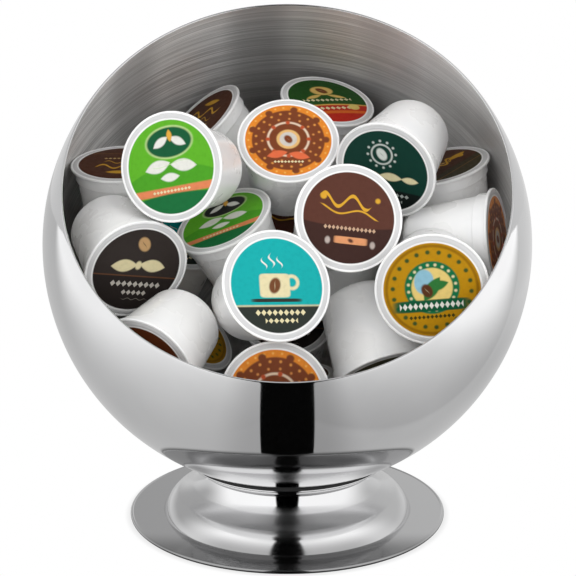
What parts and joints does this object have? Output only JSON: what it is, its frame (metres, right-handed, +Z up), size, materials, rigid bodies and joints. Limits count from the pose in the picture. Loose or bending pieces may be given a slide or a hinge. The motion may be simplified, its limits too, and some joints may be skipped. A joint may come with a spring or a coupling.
{
  "type": "coffee pod basket",
  "caption": "Polished steel ball bowl with a slanted round mouth on a flared pedestal foot, filled with lidded coffee pods; the top pods lift out along the mouth.",
  "frame": {"origin": "on the table, where the foot pads stand, under the middle of the bounding box; the axis of the pedestal and the centre of the bowl are 3.1 mm in front of it", "axes": "+Z up along the pedestal's axis, -Y towards the side the bowl's mouth faces, +X to the right as seen from the front"},
  "size_m": [0.24, 0.2337, 0.2569],
  "materials": {
    "bowl_steel": "polished outside, satin spun inside",
    "pedestal_steel": "mirror polished",
    "gasket_rubber": "matte",
    "pad_rubber": "matte",
    "fixing_steel": "bright plated",
    "plate_steel": "zinc plated",
    "pod_plastic": "gloss, moulded",
    "leaf_green_foil": "printed foil, satin",
    "ring_orange_foil": "printed foil, satin",
    "pine_green_foil": "printed foil, satin",
    "wave_brown_foil": "printed foil, satin",
    "teal_foil": "printed foil, satin",
    "mustard_foil": "printed foil, satin",
    "charcoal_foil": "printed foil, satin",
    "small_green_foil": "printed foil, satin",
    "red_band_foil": "printed foil, satin",
    "gold_stripe_foil": "printed foil, satin",
    "left_wall_foil": "printed foil, satin",
    "right_wall_foil": "printed foil, satin",
    "side_orange_foil": "printed foil, satin",
    "front_ring_foil": "printed foil, satin",
    "lower_left_foil": "printed foil, satin",
    "lower_right_foil": "printed foil, satin",
    "floor_foil": "printed foil, satin",
    "back_floor_foil": "printed foil, satin",
    "right_floor_foil": "printed foil, satin",
    "left_floor_foil": "printed foil, satin",
    "back_wall_foil": "printed foil, satin",
    "middle_foil": "printed foil, satin",
    "left_back_foil": "printed foil, satin"
  },
  "bodies": {
    "basket": {"bowl_shell": "bowl_steel", "pedestal_foot": "pedestal_steel", "seat_gasket": "gasket_rubber", "foot_pads": "pad_rubber", "centre_bolt": "fixing_steel", "bowl_washer": "fixing_steel", "clamp_plate": "plate_steel", "lock_washer": "fixing_steel", "clamp_nut": "fixing_steel", "mustard_pod_cup": "pod_plastic", "mustard_pod_lid": "mustard_foil", "charcoal_pod_cup": "pod_plastic", "charcoal_pod_lid": "charcoal_foil", "small_green_pod_cup": "pod_plastic", "small_green_pod_lid": "small_green_foil", "red_band_pod_cup": "pod_plastic", "red_band_pod_lid": "red_band_foil", "gold_stripe_pod_cup": "pod_plastic", "gold_stripe_pod_lid": "gold_stripe_foil", "left_wall_pod_cup": "pod_plastic", "left_wall_pod_lid": "left_wall_foil", "right_wall_pod_cup": "pod_plastic", "right_wall_pod_lid": "right_wall_foil", "side_orange_pod_cup": "pod_plastic", "side_orange_pod_lid": "side_orange_foil", "front_ring_pod_cup": "pod_plastic", "front_ring_pod_lid": "front_ring_foil", "lower_left_pod_cup": "pod_plastic", "lower_left_pod_lid": "lower_left_foil", "lower_right_pod_cup": "pod_plastic", "lower_right_pod_lid": "lower_right_foil", "floor_pod_cup": "pod_plastic", "floor_pod_lid": "floor_foil", "back_floor_pod_cup": "pod_plastic", "back_floor_pod_lid": "back_floor_foil", "right_floor_pod_cup": "pod_plastic", "right_floor_pod_lid": "right_floor_foil", "left_floor_pod_cup": "pod_plastic", "left_floor_pod_lid": "left_floor_foil", "back_wall_pod_cup": "pod_plastic", "back_wall_pod_lid": "back_wall_foil", "middle_pod_cup": "pod_plastic", "middle_pod_lid": "middle_foil", "left_back_pod_cup": "pod_plastic", "left_back_pod_lid": "left_back_foil"},
    "leaf_green_pod": {"leaf_green_pod_cup": "pod_plastic", "leaf_green_pod_lid": "leaf_green_foil"},
    "ring_orange_pod": {"ring_orange_pod_cup": "pod_plastic", "ring_orange_pod_lid": "ring_orange_foil"},
    "pine_green_pod": {"pine_green_pod_cup": "pod_plastic", "pine_green_pod_lid": "pine_green_foil"},
    "wave_brown_pod": {"wave_brown_pod_cup": "pod_plastic", "wave_brown_pod_lid": "wave_brown_foil"},
    "teal_pod": {"teal_pod_cup": "pod_plastic", "teal_pod_lid": "teal_foil"}
  },
  "joints": [
    {"name": "leaf_green_pod_lift", "type": "slide", "parent": "basket", "child": "leaf_green_pod", "axis": [0, -0.7615, 0.6481], "range_m": [0, 0.1]},
    {"name": "ring_orange_pod_lift", "type": "slide", "parent": "basket", "child": "ring_orange_pod", "axis": [0, -0.7615, 0.6481], "range_m": [0, 0.1]},
    {"name": "pine_green_pod_lift", "type": "slide", "parent": "basket", "child": "pine_green_pod", "axis": [0, -0.7615, 0.6481], "range_m": [0, 0.1]},
    {"name": "wave_brown_pod_lift", "type": "slide", "parent": "basket", "child": "wave_brown_pod", "axis": [0, -0.7615, 0.6481], "range_m": [0, 0.1]},
    {"name": "teal_pod_lift", "type": "slide", "parent": "basket", "child": "teal_pod", "axis": [0, -0.7615, 0.6481], "range_m": [0, 0.1]}
  ]
}
